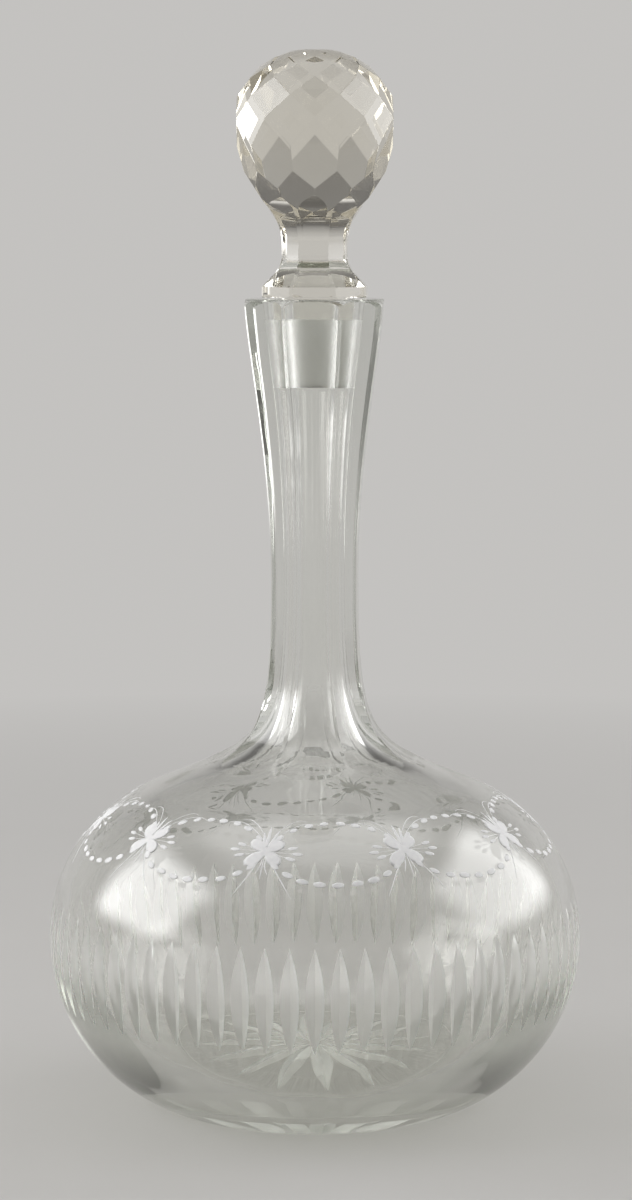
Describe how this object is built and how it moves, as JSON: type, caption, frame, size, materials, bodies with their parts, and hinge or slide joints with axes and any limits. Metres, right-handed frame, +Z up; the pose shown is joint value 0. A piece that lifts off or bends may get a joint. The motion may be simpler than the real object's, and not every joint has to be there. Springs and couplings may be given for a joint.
{
  "type": "glass decanter",
  "caption": "Round-bellied cut glass decanter with a long sliced neck, a fluted belly, a star-cut foot and a lift-out faceted globe stopper.",
  "frame": {"origin": "centre of the foot, on the surface that the decanter stands on", "axes": "+Z up along the bottle's axis, front towards -Y"},
  "size_m": [0.1434, 0.1432, 0.2824],
  "materials": {
    "body_glass": "polished clear lead glass, cut and wheel engraved",
    "stopper_glass": "polished clear lead glass, facet cut, with a ground matt plug"
  },
  "bodies": {
    "bottle": {"decanter_body": "body_glass"},
    "stopper": {"stopper": "stopper_glass"}
  },
  "joints": [
    {"name": "stopper_lift", "type": "slide", "parent": "bottle", "child": "stopper", "axis": [0, 0, 1], "range_m": [0, 0.04]}
  ]
}
